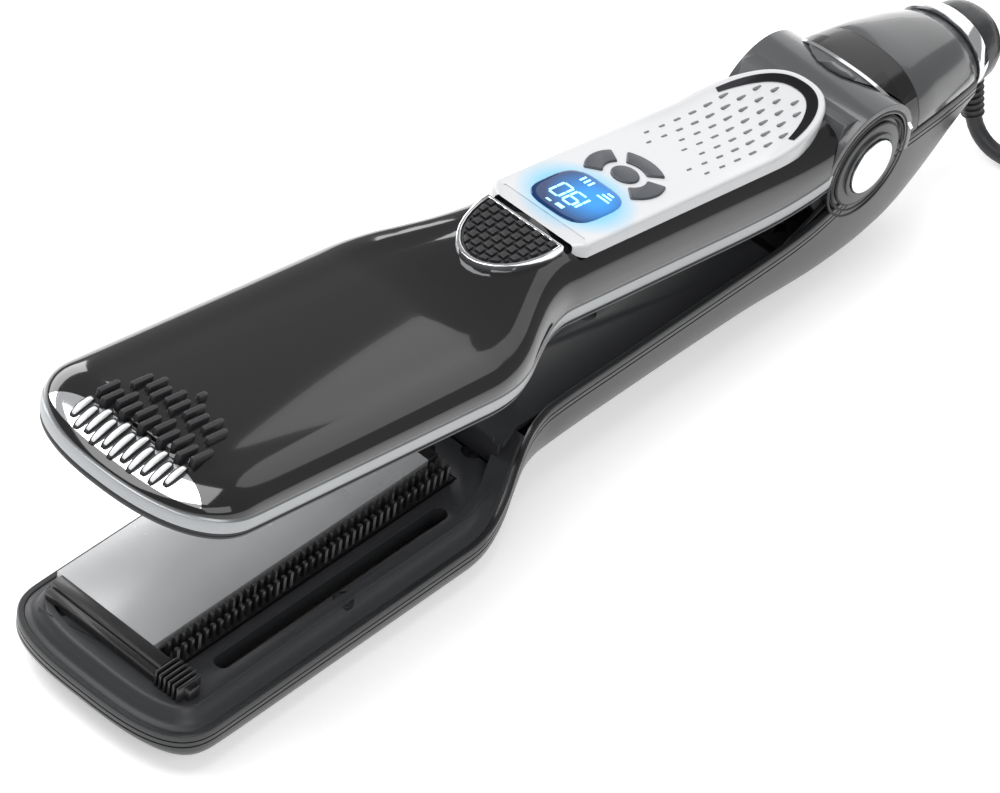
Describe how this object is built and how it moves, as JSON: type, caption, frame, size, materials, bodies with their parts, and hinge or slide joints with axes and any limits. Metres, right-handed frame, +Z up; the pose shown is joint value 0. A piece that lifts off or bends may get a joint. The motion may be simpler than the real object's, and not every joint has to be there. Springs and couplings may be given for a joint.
{
  "type": "steam hair straightener",
  "caption": "Corded steam hair straightener lying open: sprung upper arm with display panel, heater plates, comb strip, steam slot, rear water tank and swivelling cord entry.",
  "frame": {"origin": "middle of the body's box at the table plane, cord left out", "axes": "+X from the plates towards the tail, +Y to the far side, +Z up"},
  "size_m": [0.4638, 0.0784, 0.0953],
  "materials": {
    "black_gloss": "high gloss piano black",
    "dark_shell": "satin dark grey",
    "dark_inner": "fine matt",
    "barrel_satin": "satin grey",
    "satin_silver": "satin silver lacquer",
    "chrome": "bright plated",
    "white_gloss": "gloss white",
    "plate_coating": "smooth ceramic coat",
    "heat_plastic": "heat resistant, fine grain",
    "tank_smoke": "smoked gloss",
    "rubber": "soft matt",
    "button_grey": "satin",
    "display_blue": "backlit blue",
    "mica": "dull",
    "steel": "machined",
    "board_green": "solder mask",
    "silicone": "translucent",
    "cord_black": "PVC jacket"
  },
  "bodies": {
    "lower_arm": {"lower_shell": "dark_shell", "lower_frame": "dark_inner", "lower_heater_plate": "plate_coating", "lower_element": "mica", "comb_strip": "heat_plastic", "front_clamp": "heat_plastic", "rear_clamp": "heat_plastic", "steam_manifold": "silicone", "steam_pipe": "silicone", "steam_pump": "dark_inner", "lower_screws": "steel", "plate_screws": "steel", "lower_deck": "dark_inner", "lower_tip_grip": "rubber", "foot_accent": "satin_silver", "hinge_bosses": "dark_shell", "hinge_pin": "steel", "hinge_caps": "chrome", "opening_spring": "steel", "rear_collar": "black_gloss", "tail_ring": "chrome", "tail_socket": "dark_shell", "power_cord": "cord_black", "cord_coil": "cord_black", "cord_tie": "silicone", "plug": "cord_black"},
    "upper_arm": {"upper_cover": "black_gloss", "side_band": "satin_silver", "barrel": "barrel_satin", "upper_frame": "dark_inner", "upper_heater_plate": "plate_coating", "upper_element": "mica", "upper_screws": "steel", "tip_accent": "chrome", "tip_ribs": "rubber", "grip_bezel": "chrome", "grip_pad": "rubber", "control_panel": "white_gloss", "display_lens": "display_blue", "display_module": "dark_inner", "circuit_board": "board_green"},
    "tank": {"water_tank": "tank_smoke", "tank_seal": "silicone"},
    "cord_swivel": {"cord_ball": "rubber", "strain_relief": "rubber"},
    "power_key": {"power_button": "button_grey"},
    "steam_key": {"steam_button": "button_grey"},
    "plus_key": {"plus_button": "button_grey"},
    "minus_key": {"minus_button": "button_grey"}
  },
  "joints": [
    {"name": "arm_hinge", "type": "hinge", "parent": "lower_arm", "child": "upper_arm", "pos_m": [0.099, 0, 0.042], "axis": [0, 1, 0], "range_deg": [-10.8, 0], "stiffness_Nm_per_rad": 1.2, "springref_deg": 20.05},
    {"name": "tank_slide", "type": "slide", "parent": "lower_arm", "child": "tank", "axis": [0, 0, 1], "range_m": [0, 0.04]},
    {"name": "cord_turn", "type": "hinge", "parent": "lower_arm", "child": "cord_swivel", "pos_m": [0.168, 0, 0.036], "axis": [0.0416, -0.2909, -0.9559], "continuous": true},
    {"name": "power_press", "type": "slide", "parent": "upper_arm", "child": "power_key", "axis": [-0.1874, 0, -0.9823], "range_m": [0, 0.0006], "stiffness_N_per_m": 600},
    {"name": "steam_press", "type": "slide", "parent": "upper_arm", "child": "steam_key", "axis": [-0.1874, 0, -0.9823], "range_m": [0, 0.0006], "stiffness_N_per_m": 600},
    {"name": "plus_press", "type": "slide", "parent": "upper_arm", "child": "plus_key", "axis": [-0.1874, 0, -0.9823], "range_m": [0, 0.0006], "stiffness_N_per_m": 600},
    {"name": "minus_press", "type": "slide", "parent": "upper_arm", "child": "minus_key", "axis": [-0.1874, 0, -0.9823], "range_m": [0, 0.0006], "stiffness_N_per_m": 600}
  ]
}
